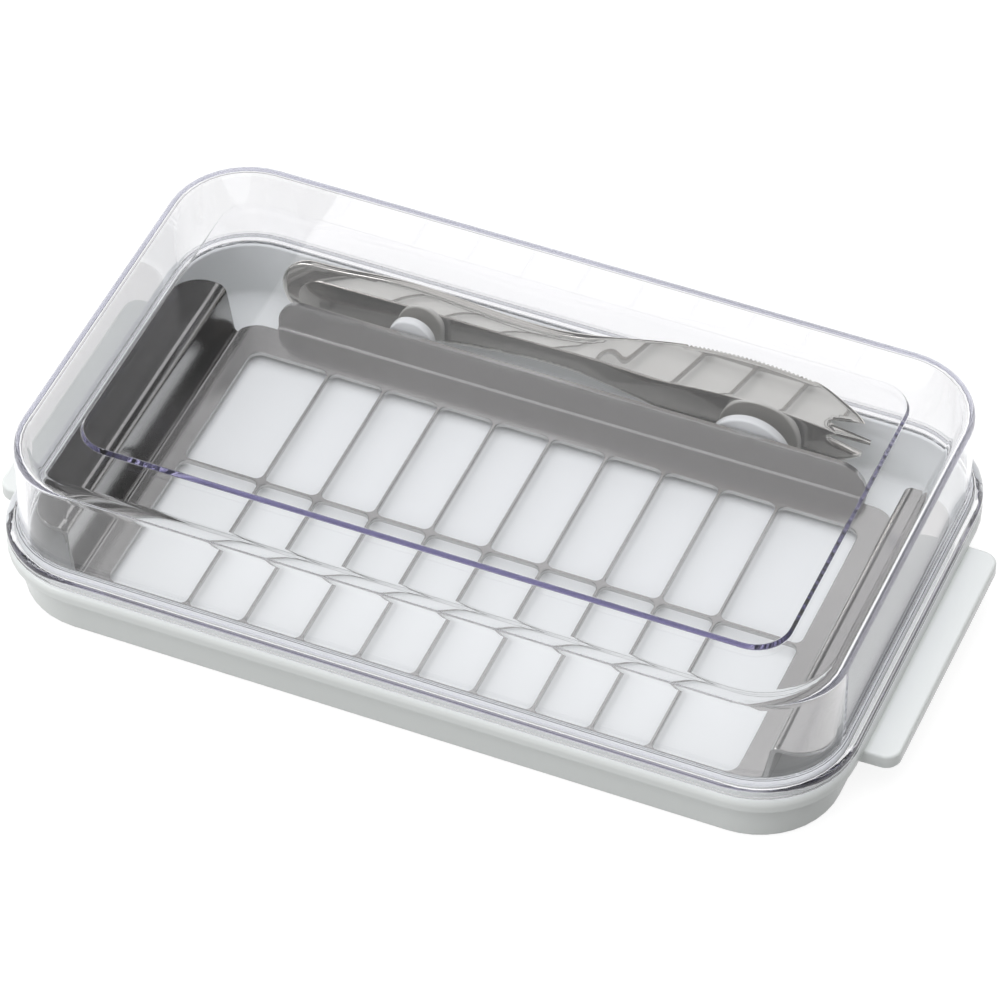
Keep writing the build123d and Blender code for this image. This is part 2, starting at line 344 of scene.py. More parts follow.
def slab(outline, low, high, rounding, steps=4):
    """Rings of a slab whose outline is closed and whose two rims are rounded.

    The outline shrinks by the rounding times one minus the sine of the angle while the
    height runs by one minus its cosine, from the high face down to the low one.
    """
    angle = np.linspace(0, np.pi / 2, steps + 1)
    shrink = rounding * (1 - np.sin(angle))
    drop = rounding * (1 - np.cos(angle))
    face = rounding + 0.05 * MM
    inset = np.concatenate([[face], shrink, shrink[::-1], [face]])
    level = np.concatenate([[high], high - drop, low + drop[::-1], [low]])
    plan = outline[None] - inset[:, None, None] * sides(outline)[None]
    height = np.broadcast_to(level[:, None, None], plan.shape[:2] + (1,))
    return np.concatenate([plan, height], -1)


def inside(points, loops, block=4000):
    """Which points lie inside the loops by the even-odd rule, worked out a block at a time."""
    hit = np.zeros(len(points), bool)
    for loop in loops:
        ahead = np.roll(loop, -1, 0)
        rise = np.where(ahead[:, 1] == loop[:, 1], 1, ahead[:, 1] - loop[:, 1])
        for start in range(0, len(points), block):
            part = points[start:start + block, None]
            above = (loop[:, 1] > part[..., 1]) != (ahead[:, 1] > part[..., 1])
            cross = loop[:, 0] + (part[..., 1] - loop[:, 1]) / rise * (ahead[:, 0] - loop[:, 0])
            crossings = np.sum(above & (part[..., 0] < cross), 1)
            hit[start:start + block] ^= (crossings % 2).astype(bool)
    return hit


def filled(loops, guides, lines, loose=np.empty((0, 2)), merge=1e-5):
    """Triangles that fill the loops, with the guides, the lines and loose points inside them.

    Returns the flat points, the triangles, and the edges that only one triangle uses. Points
    nearer to each other than merge, in millimetres, become one.
    """
    runs = [*loops, *guides, *lines]
    closed = len(loops) + len(guides)
    edges, start = [], 0
    for i, run in enumerate(runs):
        here = start + np.arange(len(run))
        pairs = np.stack([here, np.roll(here, -1)], -1)
        edges.append(pairs if i < closed else pairs[:-1])
        start += len(run)
    scale = 1 / MM
    flat = list(map(Vector, (np.concatenate([*runs, loose]) * scale).tolist()))
    result = delaunay_2d_cdt(flat, np.concatenate(edges).tolist(), [], 0, merge)
    verts = np.array(result[0]) / scale
    faces = np.array(result[2])
    faces = faces[inside(verts[faces].mean(1), loops)]
    used, faces = np.unique(faces, return_inverse=True)
    verts = verts[used]
    faces = faces.reshape(-1, 3)
    a, b, c = (verts[faces[:, i]] for i in range(3))
    area = (b - a)[:, 0] * (c - a)[:, 1] - (b - a)[:, 1] * (c - a)[:, 0]
    faces = np.where(area[:, None] < 0, faces[:, ::-1], faces)
    sided = np.concatenate([faces[:, [0, 1]], faces[:, [1, 2]], faces[:, [2, 0]]])
    _, first, times = np.unique(
        np.sort(sided, 1), axis=0, return_index=True, return_counts=True
    )
    return verts, faces, sided[first[times == 1]]


def two_sided(front, back, faces, rim):
    """Points and faces of a closed sheet from its two sides and the rim edges between them."""
    count = len(front)
    side = np.stack([rim[:, 0], rim[:, 0] + count, rim[:, 1] + count, rim[:, 1]], -1)
    every = faces.tolist() + (faces[:, ::-1] + count).tolist() + side.tolist()
    return np.concatenate([front, back]), every


# Materials

def linear(code):
    """An sRGB hex value as a linear colour."""
    value = np.array([int(code[i:i + 2], 16) for i in (1, 3, 5)]) / 255
    value = np.where(value <= 0.04045, value / 12.92, ((value + 0.055) / 1.055) ** 2.4)
    return (*value.tolist(), 1.0)


def add_node(tree, kind, inputs=None, **settings):
    """A new node with its settings, and its inputs filled by values or linked to outputs."""
    node = tree.nodes.new(kind)
    for name, value in settings.items():
        setattr(node, name, value)
    for socket, value in (inputs or {}).items():
        if isinstance(value, bpy.types.NodeSocket):
            tree.links.new(value, node.inputs[socket])
        else:
            node.inputs[socket].default_value = value
    return node


def new_material(name):
    """An empty node material, its tree and its output."""
    material = bpy.data.materials.new(name)
    material.use_nodes = True
    tree = material.node_tree
    tree.nodes.clear()
    return material, tree, add_node(tree, "ShaderNodeOutputMaterial")


def moulded_abs():
    """Moulded white ABS: a glossy skin over a bright white body, with soft highlights."""
    material, tree, output = new_material("moulded ABS")
    place = add_node(tree, "ShaderNodeTexCoord")
    # the mould's polish leaves a faint waviness about 4 mm across
    wave = add_node(tree, "ShaderNodeTexNoise", {
        "Vector": place.outputs["Object"], "Scale": 250.0, "Detail": 1.0,
    })
    bump = add_node(tree, "ShaderNodeBump", {
        "Height": wave.outputs["Fac"], "Strength": 0.03, "Distance": 0.1 * MM,
    })
    shader = add_node(tree, "ShaderNodeBsdfPrincipled", {
        "Base Color": linear("#ecefee"), "Roughness": 0.22, "IOR": 1.54,
        "Normal": bump.outputs["Normal"],
    })
    tree.links.new(shader.outputs["BSDF"], output.inputs["Surface"])
    return material


def moulded_san(settings):
    """Moulded clear SAN: glassy on both sides, and violet where it is looked through lengthwise."""
    material, tree, output = new_material("moulded clear SAN")
    shader = add_node(tree, "ShaderNodeBsdfPrincipled", {
        "Base Color": (1, 1, 1, 1), "Roughness": 0.0, "IOR": 1.57, "Transmission Weight": 1.0,
    })
    # lamps and matt surfaces reach each other through the wall, which takes a few percent a face
    ray = add_node(tree, "ShaderNodeLightPath")
    free = add_node(tree, "ShaderNodeMath", {
        0: ray.outputs["Is Shadow Ray"], 1: ray.outputs["Is Diffuse Ray"],
    }, operation="MAXIMUM")
    clear = add_node(tree, "ShaderNodeBsdfTransparent", {"Color": (0.965, 0.962, 0.975, 1)})
    both = add_node(tree, "ShaderNodeMixShader", {
        0: free.outputs["Value"], 1: shader.outputs["BSDF"], 2: clear.outputs["BSDF"],
    })
    tint = add_node(tree, "ShaderNodeVolumeAbsorption", {
        "Color": (*settings.tint, 1), "Density": settings.absorption,
    })
    tree.links.new(both.outputs[0], output.inputs["Surface"])
    tree.links.new(tint.outputs["Volume"], output.inputs["Volume"])
    return material


def satin_stainless():
    """Cold-rolled stainless sheet: lines along the rolling direction soften what it mirrors.

    The real lines are some 0.05 mm apart. They are drawn about 0.4 mm apart, so that they show.
    """
    material, tree, output = new_material("cold-rolled stainless sheet")
    place = add_node(tree, "ShaderNodeTexCoord")
    lines = add_node(tree, "ShaderNodeMapping", {
        "Vector": place.outputs["Object"], "Scale": (15, 2500, 2500),
    })
    grain = add_node(tree, "ShaderNodeTexNoise", {
        "Vector": lines.outputs["Vector"], "Scale": 1.0, "Detail": 1.0,
    })
    bump = add_node(tree, "ShaderNodeBump", {
        "Height": grain.outputs["Fac"], "Strength": 0.01, "Distance": 0.02 * MM,
    })
    rough = add_node(tree, "ShaderNodeMapRange", {
        "Value": grain.outputs["Fac"], "To Min": 0.15, "To Max": 0.18,
    })
    shader = add_node(tree, "ShaderNodeBsdfPrincipled", {
        "Base Color": linear("#bbbab9"), "Metallic": 1.0, "Roughness": rough.outputs["Result"],
        "Normal": bump.outputs["Normal"],
    })
    tree.links.new(shader.outputs["BSDF"], output.inputs["Surface"])
    return material


def polished_stainless():
    """Mirror-polished stainless: sharp reflections with a trace of the wheel's waviness."""
    material, tree, output = new_material("mirror-polished stainless")
    place = add_node(tree, "ShaderNodeTexCoord")
    # the polishing wheel leaves waves about 17 mm across
    wave = add_node(tree, "ShaderNodeTexNoise", {
        "Vector": place.outputs["Object"], "Scale": 60.0, "Detail": 1.0,
    })
    bump = add_node(tree, "ShaderNodeBump", {
        "Height": wave.outputs["Fac"], "Strength": 0.05, "Distance": 0.2 * MM,
    })
    shader = add_node(tree, "ShaderNodeBsdfPrincipled", {
        "Base Color": linear("#dcd9d4"), "Metallic": 1.0, "Roughness": 0.03,
        "Normal": bump.outputs["Normal"],
    })
    tree.links.new(shader.outputs["BSDF"], output.inputs["Surface"])
    return material


# Operators, one for each piece and one for the stage

def lid_outline():
    """Half-length, half-width and corner radius of the lid's inner face."""
    lid = bpy.context.scene.butter_lid
    return lid_high[0] - lid.skirt_reach, lid_high[1] - lid.skirt_reach, lid.corner


class BUTTERDISH_OT_lid(bpy.types.Operator):
    """Build the clear lid"""

    bl_idname = "butterdish.lid"
    bl_label = "Lid"

    def execute(self, context):
        lid = context.scene.butter_lid
        top = lid_high[2]
        shoulder = top - lid.panel_rise
        ceiling = shoulder - lid.wall
        panel = lid.wall - lid.panel_inset
        slope = panel - lid.panel_edge
        draft = np.tan(np.radians(0.5))
        outer_top = lid.wall - draft * (shoulder - lid.skirt_top)
        inner_top = -draft * (ceiling - lid.seat)
        skirt = lid.skirt_reach
        room = skirt - 1.6 * MM  # the skirt's own wall
        rounder = 2.5 * MM  # how much rounder the panel's corners are
        flat = 4 * MM  # how far in the last ring of each flat stands
        profile = rounded_path(
            [
                (slope - flat, top, rounder),
                (slope, top, rounder),
                (panel, shoulder, rounder),
                (outer_top, shoulder, 0),
                (lid.wall, lid.skirt_top, 0),
                (skirt, lid.skirt_top, 0),
                (skirt, lid_low[2], 0),
                (room, lid_low[2], 0),
                (room, lid.seat, 0),
                (0, lid.seat, 0),
                (inner_top, ceiling, 0),
                (panel - flat, ceiling, rounder),
            ],
            # the slope's two ends, the shoulder, the skirt's root and its three edges, the
            # seat's two edges and the ceiling's
            [radius * MM for radius in (0.15, 0.12, 2.5, 0.5, 1.9, 0.4, 0.25, 0.2, 0.25, 0.9)],
        )
        grid = carried_profile(profile, lid_outline())
        faces = ring_faces(*grid.shape[:2])
        new_object("clear_lid", grid, faces, moulded_san(lid), "lid", "clear_plastic", "lid")
        return {"FINISHED"}


class BUTTERDISH_OT_tray(bpy.types.Operator):
    """Build the white tray with its rim, grips and knife bay"""

    bl_idname = "butterdish.tray"
    bl_label = "Tray"

    def execute(self, context):
        lid = context.scene.butter_lid
        tray = context.scene.butter_tray
        abs_white = moulded_abs()

        def add_piece(name, rings):
            faces = ring_faces(*rings.shape[:2])
            new_object(name, rings, faces, abs_white, "tray", "white_plastic", "base_tray")

        # distances outward from the lid's inner face
        outline = lid_outline()
        cavity = -0.3 * MM
        upstand = cavity + 2.4 * MM
        rim = lid.skirt_reach
        body = rim - 2.8 * MM
        floor_edge = cavity - np.tan(np.radians(6.4)) * (lid.seat - tray.floor_top)
        recess = 0.8 * MM
        foot = body - 4 * MM
        profile = rounded_path(
            [
                (floor_edge - 9 * MM, tray.floor_top, 0),
                (floor_edge, tray.floor_top, 0),
                (cavity, lid.seat, 0),
                (upstand, lid.seat, 0),
                (upstand, tray.rim_high, 0),
                (rim, tray.rim_high, 0),
                (rim, tray.rim_low, 0),
                (body + 0.08 * MM, tray.rim_low, 0),
                (body, 0, 0),
                (foot, 0, 0),
                (foot, recess, 0),
                (foot - 5 * MM, recess, 0),
            ],
            # the floor, the upstand's two edges and its root, the rim's two edges and its
            # root, the foot's two edges and the recess
            [radius * MM for radius in (1.3, 0.45, 0.4, 0.15, 1.7, 0.15, 0.3, 1.0, 0.3, 0.3)],
        )
        add_piece("tray", carried_profile(profile, outline))

        # grips: flat tongues whose outer corners are rounded, rooted in the wall
        half = tray.grip_width / 2
        root = outline[0] + body - 0.8 * MM
        corner = 3 * MM
        for side, name in ((1, "grip_right"), (-1, "grip_left")):
            plan = np.concatenate([
                [(root, -half)],
                arc_points((tray_high[0] - corner, corner - half), corner, -90, 0),
                arc_points((tray_high[0] - corner, half - corner), corner, 0, 90),
                [(root, half)],
            ])
            plan = plan if side > 0 else plan[::-1] * (-1, 1)
            add_piece(name, slab(plan, tray.rim_low - tray.grip_thickness, tray.rim_low, 0.5 * MM))

        # posts: upright plates with half-round tops between the cutter and the knife, drawn
        # lying down and then stood up
        sunk = tray.floor_top - 1 * MM
        post_front, post_back = cutter_high[1] + 0.8 * MM, knife_low[1] - 0.5 * MM
        for name, middle, radius in (
            ("post_handle", -33.3 * MM, 4.6 * MM),
            ("post_blade", 36.1 * MM, 8.25 * MM),
        ):
            plan = np.concatenate([
                [(middle - radius, sunk), (middle + radius, sunk)],
                arc_points((middle, tray_high[2] - radius), radius, 0, 180, 24),
            ])
            rings = slab(plan, -post_back, -post_front, 0.4 * MM)
            add_piece(name, rings[..., [0, 2, 1]] * (1, -1, 1))

        # ribs that carry the cutter's ends, stops behind the knife and a saddle under its handle
        rib_x, rib_front, rib_back, rib = 64.9 * MM, -37.3 * MM, 27.5 * MM, 0.8 * MM
        stop_front, stop_back, stop = 42.07 * MM, 46.85 * MM, 1 * MM
        stop_top = tray.floor_top + tray.stop_height
        saddle_top = tray.floor_top + 2.18 * MM
        handle_x, belly_x = knife_low[0] + 6.4 * MM, knife_low[0] + 102.3 * MM
        for name, x, half, front, back, high in (
            ("rib_left", -rib_x, rib, rib_front, rib_back, cutter_low[2]),
            ("rib_right", rib_x, rib, rib_front, rib_back, cutter_low[2]),
            ("stop_handle", handle_x, stop, stop_front, stop_back, stop_top),
            ("stop_blade", belly_x, stop, stop_front, stop_back, stop_top),
            ("saddle", handle_x, stop, knife_low[1], stop_back, saddle_top),
        ):
            low_x, high_x = x - half, x + half
            plan = np.array([(low_x, front), (high_x, front), (high_x, back), (low_x, back)])
            add_piece(name, slab(plan, sunk, high, 0.2 * MM))
        return {"FINISHED"}


class BUTTERDISH_OT_cutter(bpy.types.Operator):
    """Build the folded cutter plate with its windows"""

    bl_idname = "butterdish.cutter"
    bl_label = "Cutter"

    def execute(self, context):
        cutter = context.scene.butter_cutter
        half = cutter.sheet / 2
        middle = cutter_low[2] + half
        wall_foot, wing_root = 67.5 * MM, 69.3 * MM
        # the sheet's middle surface along X: plate, leaning wall and wing
        across = rounded_path(
            [
                (0, middle),
                (wall_foot + half, middle),
                (wing_root + half, cutter_high[2] - half),
                (cutter_high[0], cutter_high[2] - half),
            ],
            [1.4 * MM, 1.6 * MM],
            steps=8,
        )
        # and along Y: plate and rear flange
        flange_y, flange_z = cutter_high[1] - half, 12.3 * MM
        along = rounded_path(
            [(0, middle), (flange_y, middle), (flange_y, flange_z)], [1.1 * MM], steps=8
        )
        length_x, length_y = travelled(across), travelled(along)
        end_x, end_y = length_x[-1], length_y[-1]

        # the flat blank: plate, wings and flange with rounded corners, from the middle of its front
        front, rear = cutter_low[1], cutter_high[1] - 1.6 * MM
        wing_front, wing_back = front + 3.5 * MM, cutter_high[1] - 5 * MM
        flange_half = 60.3 * MM
        round_plate, round_wing, round_flange = 5 * MM, 6.5 * MM, 5.5 * MM
        plate_front = (wall_foot - round_plate, front + round_plate)
        plate_rear = (wall_foot - round_plate, rear - round_plate)
        flange_corner = (flange_half - round_flange, end_y - round_flange)

        def corner_angle(y, centre):
            return np.degrees(np.arcsin((y - centre[1]) / round_plate))

        right = np.concatenate([
            arc_points(plate_front, round_plate, -90, corner_angle(wing_front, plate_front), 6),
            arc_points((end_x - round_wing, wing_front + round_wing), round_wing, -90, 0, 10),
            arc_points((end_x - round_wing, wing_back - round_wing), round_wing, 0, 90, 10),
            arc_points(plate_rear, round_plate, corner_angle(wing_back, plate_rear), 90, 6),
            [(flange_half, rear)],
            arc_points(flange_corner, round_flange, 0, 90, 10),
        ])
        loops = [np.concatenate([right, right[::-1] * (-1, 1)])]

        # windows in two rows, their corners rounded, and more so at the blank's four corners
        window_end = wall_foot - 5.2 * MM
        window_front = front + 4.7 * MM
        bar_y = window_front + 32.8 * MM
        window_back = cutter_high[1] - 8.5 * MM
        rows = (
            (window_front, bar_y - cutter.bar / 2),
            (bar_y + cutter.bar / 2, window_back),
        )
        small, large = 1.5 * MM, 2.5 * MM
        for column in range(cutter.slices):
            first, last = column == 0, column == cutter.slices - 1
            low_x = (column - cutter.slices / 2) * cutter.pitch + cutter.bar / 2
            high_x = low_x + cutter.pitch - cutter.bar
            low_x = -window_end if first else low_x
            high_x = window_end if last else high_x
            for row, (low_y, high_y) in enumerate(rows):
                # the radii anticlockwise from the corner at high X and high Y
                radius = np.full(4, small)
                if first:
                    radius[2 if row == 0 else 1] = large
                if last:
                    radius[3 if row == 0 else 0] = large
                a, b, c, d = radius
                loops.append(np.concatenate([
                    arc_points((high_x - a, high_y - a), a, 0, 90, 6),
                    arc_points((low_x + b, high_y - b), b, 90, 180, 6),
                    arc_points((low_x + c, low_y + c), c, 180, 270, 6),
                    arc_points((high_x - d, low_y + d), d, 270, 360, 6),
                ])[::-1])
        guides = [loop - cutter.burr * sides(loop) for loop in loops]

        # lines on the blank where the profiles bend
        past = 1 * MM
        bends_x = length_x[(length_x > window_end) & (length_x < end_x - past)]
        bends_y = length_y[(length_y > window_back) & (length_y < end_y - past)]
        lines = [
            np.array([(sign * x, wing_front - past), (sign * x, wing_back + past)])
            for x in bends_x for sign in (1, -1)
        ]
        lines += [
            np.array([(-flange_half - past, y), (flange_half + past, y)]) for y in bends_y
        ]
        flat, faces, rim = filled(loops, guides, lines)

        # fold the blank: each flat distance becomes a place on the bent profiles
        distance = np.abs(flat[:, 0])
        sign = np.sign(flat[:, 0])
        behind = np.maximum(flat[:, 1], 0)
        x = np.interp(distance, length_x, across[:, 0])
        z = np.interp(distance, length_x, across[:, 1])
        y = np.where(flat[:, 1] > 0, np.interp(flat[:, 1], length_y, along[:, 0]), flat[:, 1])
        lift = np.interp(behind, length_y, along[:, 1]) - middle
        slope_x = np.gradient(across, length_x, axis=0)
        slope_y = np.gradient(along, length_y, axis=0)
        lean_x = np.interp(distance, length_x, np.arctan2(slope_x[:, 1], slope_x[:, 0]))
        lean_y = np.interp(behind, length_y, np.arctan2(slope_y[:, 1], slope_y[:, 0]))
        normal = np.stack([
            -sign * np.sin(lean_x), -np.sin(lean_y), np.cos(lean_x) * np.cos(lean_y),
        ], -1)
        normal /= np.linalg.norm(normal, axis=1)[:, None]
        centre = np.stack([sign * x, y, z + lift], -1)
        thick = np.full(len(flat), half)
        thick[np.unique(rim)] = half - cutter.burr
        offset = normal * thick[:, None]
        points, faces = two_sided(centre + offset, centre - offset, faces, rim)
        new_object(
            "cutter_plate_folded", points, faces, satin_stainless(),
            "cutter", "stainless_sheet", "cutter_plate",
        )
        return {"FINISHED"}


class BUTTERDISH_OT_knife(bpy.types.Operator):
    """Build the polished butter knife"""

    bl_idname = "butterdish.knife"
    bl_label = "Knife"

    def execute(self, context):
        knife = context.scene.butter_knife
        length = knife_high[0] - knife_low[0]
        handle, handle_radius = np.array([6.4, 8.6]) * MM, 6.4 * MM
        # the edge is an arc between two points, and rises a little between them
        edge_start, edge_end = length - 37.7 * MM, length - 12.1 * MM
        edge_height, rise = 20.85 * MM, 0.95 * MM
        half_chord = (edge_end - edge_start) / 2
        edge_radius = (half_chord**2 + rise**2) / (2 * rise)
        edge_middle = np.array([(edge_start + edge_end) / 2, edge_height + rise - edge_radius])
        sweep = np.arcsin(half_chord / edge_radius)
        leave = np.array([np.cos(sweep), np.sin(sweep)])

        # the outline, anticlockwise, from the distance to the handle's end and the height
        tip = length - 1.5 * MM
        heel = np.array([(tip, 7.1 * MM), (tip, 7.8 * MM)])
        belly_start = (length - 18.3 * MM, 0)
        lower = smooth_run(
            [(handle_radius, 2.2 * MM), (65.6 * MM, 6.9 * MM), belly_start], (1, 0), (1, 0), 40
        )
        belly = smooth_run(
            [belly_start, (length - 4.9 * MM, 4.9 * MM), heel[0]], (1, 0), (1.2, 1), 16
        )
        root, notch, fork = length - 8.3 * MM, 0.45 * MM, 0.7 * MM
        prongs = np.concatenate([
            heel,
            arc_points((root + notch, 9.45 * MM), notch, 265, 95, 8),
            [(length, 10.15 * MM), (length, 10.9 * MM)],
            arc_points((root + fork, 12.7 * MM), fork, 262, 98, 8),
            [(tip, 14.5 * MM)],
        ])
        nose = smooth_run(
            [(edge_end, edge_height), (length - 6.1 * MM, 18.1 * MM), (tip, 14.5 * MM)],
            leave * (1, -1), (1, -1.4), 14,
        )[::-1]
        # each tooth is two points on the arc and one below it
        tooth_depth = 0.4 * MM
        teeth = int(2 * sweep * edge_radius / knife.tooth)
        turn = (np.arange(teeth)[:, None] + [0.1, 0.5, 0.9]) / teeth
        angle = np.pi / 2 - sweep + 2 * sweep * turn.ravel()
        reach = edge_radius - np.tile([0, tooth_depth, 0], teeth)
        serrated = edge_middle + reach[:, None] * np.stack([np.cos(angle), np.sin(angle)], -1)
        upper = smooth_run(
            [
                (handle_radius, 15 * MM), (23.5 * MM, 16.5 * MM), (56.8 * MM, 15.5 * MM),
                (edge_start, edge_height),
            ],
            (1, 0), leave, 40,
        )[::-1]
        end_arc = arc_points(handle, handle_radius, 90, 270, 24)
        outline = np.concatenate([
            lower[:-1], belly[:-1], prongs[:-1], nose[:-1], serrated, upper[:-1], end_arc[:-1],
        ])

        # points between: rows just inside the outline and a grid, kept off the outline
        depths = np.array([0.04, 0.13, 0.28, 0.5]) * MM
        loose = np.concatenate([outline - depth * sides(outline) for depth in depths])
        depth = np.repeat(depths, len(outline))
        loose = loose[inside(loose, [outline]) & (distance_to(outline, loose) > 0.9 * depth)]
        step_x, step_z, tallest, clear = 0.75 * MM, 0.55 * MM, 22.5 * MM, 0.8 * MM
        grid = np.stack(np.meshgrid(
            np.arange(0, length, step_x), np.arange(0, tallest, step_z), indexing="ij"
        ), -1).reshape(-1, 2)
        grid = grid[inside(grid, [outline])]
        grid = grid[distance_to(outline, grid) > clear]
        flat, faces, rim = filled([outline], [], [], np.concatenate([loose, grid]))

        # half the thickness: a parabola across the handle, and on the blade ground flat from a
        # ridge to the edge and to the belly, with a smooth change from the one to the other
        handle_rim, blade_rim, ridge_top = 0.62 * MM, 0.22 * MM, 0.9 * MM
        blade_from, change = 62 * MM, 9 * MM
        x, z = flat.T
        bottom = np.interp(x, lower[:, 0], lower[:, 1])
        top = np.interp(x, upper[::-1, 0], upper[::-1, 1])
        across = np.clip(np.abs(2 * z - bottom - top) / (top - bottom), 0, 1)
        round_end = np.clip(np.linalg.norm(flat - handle, axis=1) / handle_radius, 0, 1)
        across = np.where(x < handle_radius, round_end, across)
        crowned = handle_rim + knife.crown * (1 - across**2)
        below_edge = edge_radius - np.linalg.norm(flat - edge_middle, axis=1)
        slope = np.tan(knife.grind)
        ridge = (ridge_top - blade_rim) / slope
        ground = ridge_top - slope * np.abs(np.maximum(below_edge, 0) - ridge)
        ground = np.maximum(ground, blade_rim)
        share = np.clip((x - blade_from) / change, 0, 1)
        share = share**2 * (3 - 2 * share)
        thick = crowned * (1 - share) + ground * share
        # the polished edges are quarters of a circle, no rounder than the sheet there allows
        rounding = np.minimum(knife.rounding, 0.8 * thick)
        near = np.clip(1 - distance_to(outline, flat) / rounding, 0, 1)
        near[np.unique(rim)] = 1
        thick -= rounding * (1 - np.sqrt(1 - near**2))

        # stand it on its back and lean it back round the foot of its front face
        middle = knife_low[1] + ridge_top
        rest = knife_low[2] + 2 * ridge_top * np.sin(knife.lean)
        turned = []
        for side in (-1, 1):
            ahead = middle + side * thick - knife_low[1]
            turned.append(np.stack([
                knife_low[0] + x,
                knife_low[1] + ahead * np.cos(knife.lean) + z * np.sin(knife.lean),
                rest - ahead * np.sin(knife.lean) + z * np.cos(knife.lean),
            ], -1))
        points, faces = two_sided(turned[0], turned[1], faces, rim)
        new_object(
            "knife", points, faces, polished_stainless(),
            "knife", "polished_stainless", "butter_knife",
        )
        return {"FINISHED"}


def white_paper():
    """White paper: a matt floor that itself looks white wherever it is seen or mirrored."""
    paper, tree, output = new_material("white paper")
    ray = add_node(tree, "ShaderNodeLightPath")
    seen = add_node(tree, "ShaderNodeMath", {
        0: ray.outputs["Is Camera Ray"], 1: ray.outputs["Is Glossy Ray"],
    }, operation="MAXIMUM")
    seen = add_node(tree, "ShaderNodeMath", {
        0: seen.outputs["Value"], 1: ray.outputs["Is Transmission Ray"],
    }, operation="MAXIMUM")
    matt = add_node(tree, "ShaderNodeBsdfDiffuse", {"Color": linear("#949494")})
    glow = add_node(tree, "ShaderNodeEmission", {"Color": (1, 1, 1, 1), "Strength": 0.84})
    none = add_node(tree, "ShaderNodeEmission", {"Color": (0, 0, 0, 1), "Strength": 0.0})
    part = add_node(tree, "ShaderNodeMixShader", {
        0: seen.outputs["Value"], 1: none.outputs[0], 2: glow.outputs[0],
    })
    both = add_node(tree, "ShaderNodeAddShader", {0: matt.outputs[0], 1: part.outputs[0]})
    tree.links.new(both.outputs[0], output.inputs["Surface"])
    return paper


def studio_world():
    """A studio: white where the camera looks, and a dim room for what the metal mirrors."""
    world = bpy.data.worlds.new("studio")
    world.use_nodes = True
    tree = world.node_tree
    tree.nodes.clear()
    ray = add_node(tree, "ShaderNodeLightPath")
    place = add_node(tree, "ShaderNodeTexCoord")
    way = add_node(tree, "ShaderNodeSeparateXYZ", {"Vector": place.outputs["Generated"]})
    # the paper rises white behind the dish, the walls beside it are grey and the rest is dim
    low = add_node(tree, "ShaderNodeMapRange", {
        "Value": way.outputs["Z"],
        "From Min": 0.25, "From Max": 0.45, "To Min": 1.0, "To Max": 0.0,
    })
    behind = add_node(tree, "ShaderNodeMapRange", {
        "Value": way.outputs["Y"], "From Min": 0.5, "From Max": 0.75, "To Min": 0.45,
    })
    pale = add_node(tree, "ShaderNodeMath", {
        0: low.outputs["Result"], 1: behind.outputs["Result"],
    }, operation="MULTIPLY")
    room = add_node(tree, "ShaderNodeMapRange", {"Value": pale.outputs["Value"], "To Min": 0.07})
    # matt surfaces get their fill from above, and a little more of it from the left
    above = add_node(tree, "ShaderNodeVectorMath", {
        0: place.outputs["Generated"], 1: (-0.35, 0, 1.15),
    }, operation="DOT_PRODUCT")
    fill = add_node(tree, "ShaderNodeMapRange", {
        "Value": above.outputs["Value"],
        "From Min": -0.12, "From Max": 1.28, "To Min": 0.0, "To Max": 1.4,
    })
    strength = add_node(tree, "ShaderNodeMix", {
        0: ray.outputs["Is Diffuse Ray"], 2: room.outputs["Result"], 3: fill.outputs["Result"],
    })
    around = add_node(tree, "ShaderNodeBackground", {
        "Color": linear("#f9faf9"), "Strength": strength.outputs[0],
    })
    white = add_node(tree, "ShaderNodeBackground", {"Color": (1, 1, 1, 1), "Strength": 1.0})
    # the white background also shows straight through the clear lid
    straight = add_node(tree, "ShaderNodeMath", {
        0: ray.outputs["Glossy Depth"], 1: 0.5,
    }, operation="LESS_THAN")
    through = add_node(tree, "ShaderNodeMath", {
        0: ray.outputs["Is Transmission Ray"], 1: straight.outputs["Value"],
    }, operation="MULTIPLY")
    seen = add_node(tree, "ShaderNodeMath", {
        0: ray.outputs["Is Camera Ray"], 1: through.outputs["Value"],
    }, operation="MAXIMUM")
    mix = add_node(tree, "ShaderNodeMixShader", {
        0: seen.outputs["Value"], 1: around.outputs[0], 2: white.outputs[0],
    })
    add_node(tree, "ShaderNodeOutputWorld", {"Surface": mix.outputs[0]})
    return world


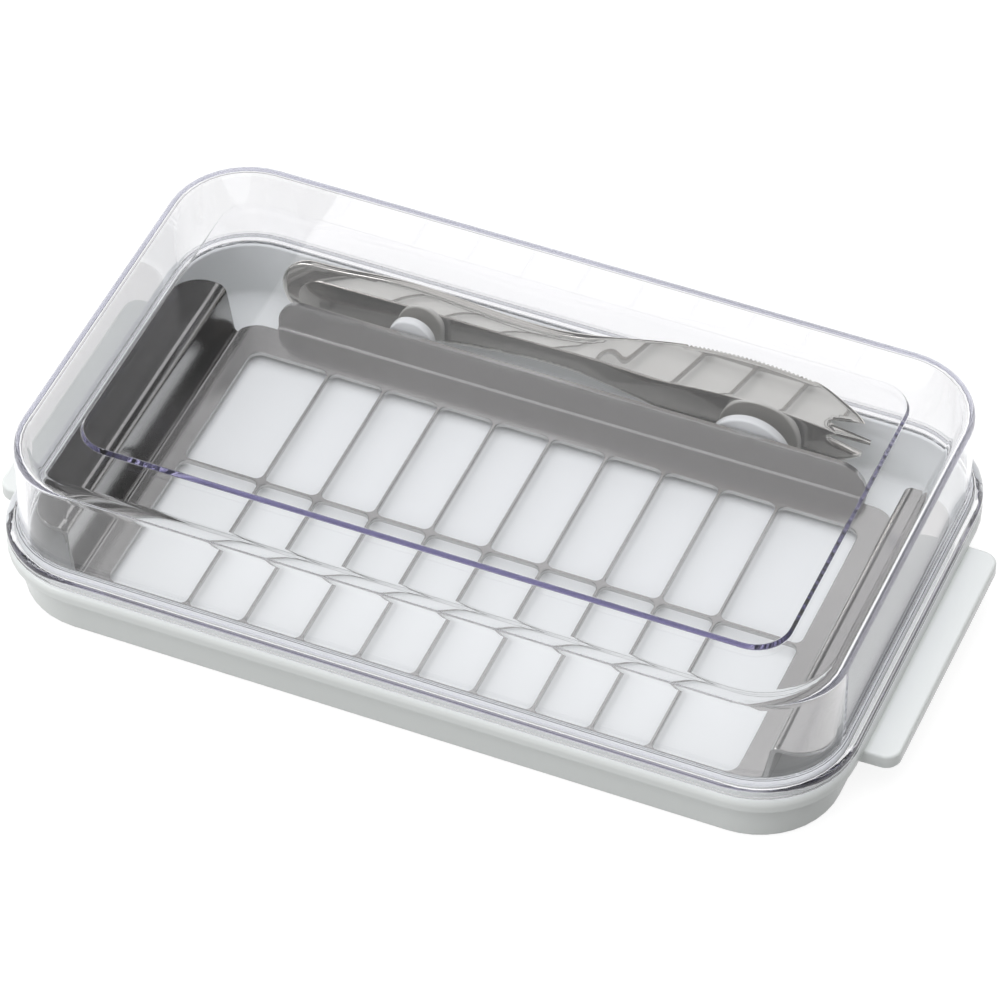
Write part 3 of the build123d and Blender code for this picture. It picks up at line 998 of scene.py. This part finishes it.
class BUTTERDISH_OT_stage(bpy.types.Operator):
    """Set up the floor, the lights and the camera"""

    bl_idname = "butterdish.stage"
    bl_label = "Stage"

    def execute(self, context):
        scene = context.scene
        scene.view_settings.view_transform = "Standard"
        # light that runs along inside the lid's panel needs dozens of reflections to come out
        bounces = 48
        scene.cycles.max_bounces = bounces
        scene.cycles.glossy_bounces = bounces
        scene.cycles.transmission_bounces = bounces
        scene.world = studio_world()

        side, front, back = 0.25, -0.25, 1.6
        mesh = bpy.data.meshes.new("floor")
        mesh.from_pydata(
            [(-side, front, 0), (side, front, 0), (side, back, 0), (-side, back, 0)],
            [], [(0, 1, 2, 3)],
        )
        mesh.materials.append(white_paper())
        floor = bpy.data.objects.new("floor", mesh)
        scene.collection.objects.link(floor)

        # name, width, depth, watts, place and the point that it faces
        for name, width, depth, power, place, aim in (
            ("rear softbox", 0.55, 1.15, 1.5, (-0.225, 0.925, 1.0), (-0.225, 0.925, 0)),
            ("overhead softbox", 0.95, 1.55, 2.7, (-0.10, -0.475, 1.0), (-0.10, -0.475, 0)),
            ("low softbox", 1.0, 0.5, 1.2, (-0.40, -1.50, 0.85), (0, 0, 0)),
            ("side softbox", 0.6, 0.3, 1.7, (-0.70, -0.80, 0.35), (0, 0, 0)),
        ):
            lamp = bpy.data.lights.new(name, "AREA")
            lamp.shape = "RECTANGLE"
            lamp.size, lamp.size_y = width, depth
            lamp.energy = power
            box = bpy.data.objects.new(name, lamp)
            box.location = place
            box.rotation_euler = (Vector(aim) - box.location).to_track_quat("-Z", "Y").to_euler()
            scene.collection.objects.link(box)

        lens = bpy.data.cameras.new("camera")
        lens.sensor_width = 36.0
        lens.lens = 215.0
        lens.clip_start = 0.05
        pitch, turn = 45.15, 22.87
        camera = bpy.data.objects.new("camera", lens)
        camera.location = (0.304158, -0.719105, 0.799751)
        camera.rotation_euler = np.radians((90 - pitch, 0, turn))
        scene.collection.objects.link(camera)
        scene.camera = camera
        return {"FINISHED"}


class BUTTERDISH_PT_panel(bpy.types.Panel):
    """Lists the pieces of the butter dish"""

    bl_idname = "BUTTERDISH_PT_panel"
    bl_label = "Butter Dish"
    bl_space_type = "VIEW_3D"
    bl_region_type = "UI"
    bl_category = "Butter Dish"

    def draw(self, context):
        for operator in OPERATORS:
            self.layout.operator(operator.bl_idname)


SETTINGS = {
    "butter_lid": LidSettings,
    "butter_tray": TraySettings,
    "butter_cutter": CutterSettings,
    "butter_knife": KnifeSettings,
}
OPERATORS = (
    BUTTERDISH_OT_tray,
    BUTTERDISH_OT_cutter,
    BUTTERDISH_OT_knife,
    BUTTERDISH_OT_lid,
    BUTTERDISH_OT_stage,
)


def register():
    """Register the settings, the operators and the panel."""
    for kind in (*SETTINGS.values(), *OPERATORS, BUTTERDISH_PT_panel):
        bpy.utils.register_class(kind)
    for name, kind in SETTINGS.items():
        setattr(bpy.types.Scene, name, PointerProperty(type=kind))


def unregister():
    """Undo what register did."""
    for name in SETTINGS:
        delattr(bpy.types.Scene, name)
    for kind in (BUTTERDISH_PT_panel, *reversed(OPERATORS), *reversed(SETTINGS.values())):
        bpy.utils.unregister_class(kind)


def main():
    """Build every piece and the stage."""
    register()
    bpy.ops.butterdish.tray()
    bpy.ops.butterdish.cutter()
    bpy.ops.butterdish.knife()
    bpy.ops.butterdish.lid()
    bpy.ops.butterdish.stage()


if __name__ == "__main__":
    main()
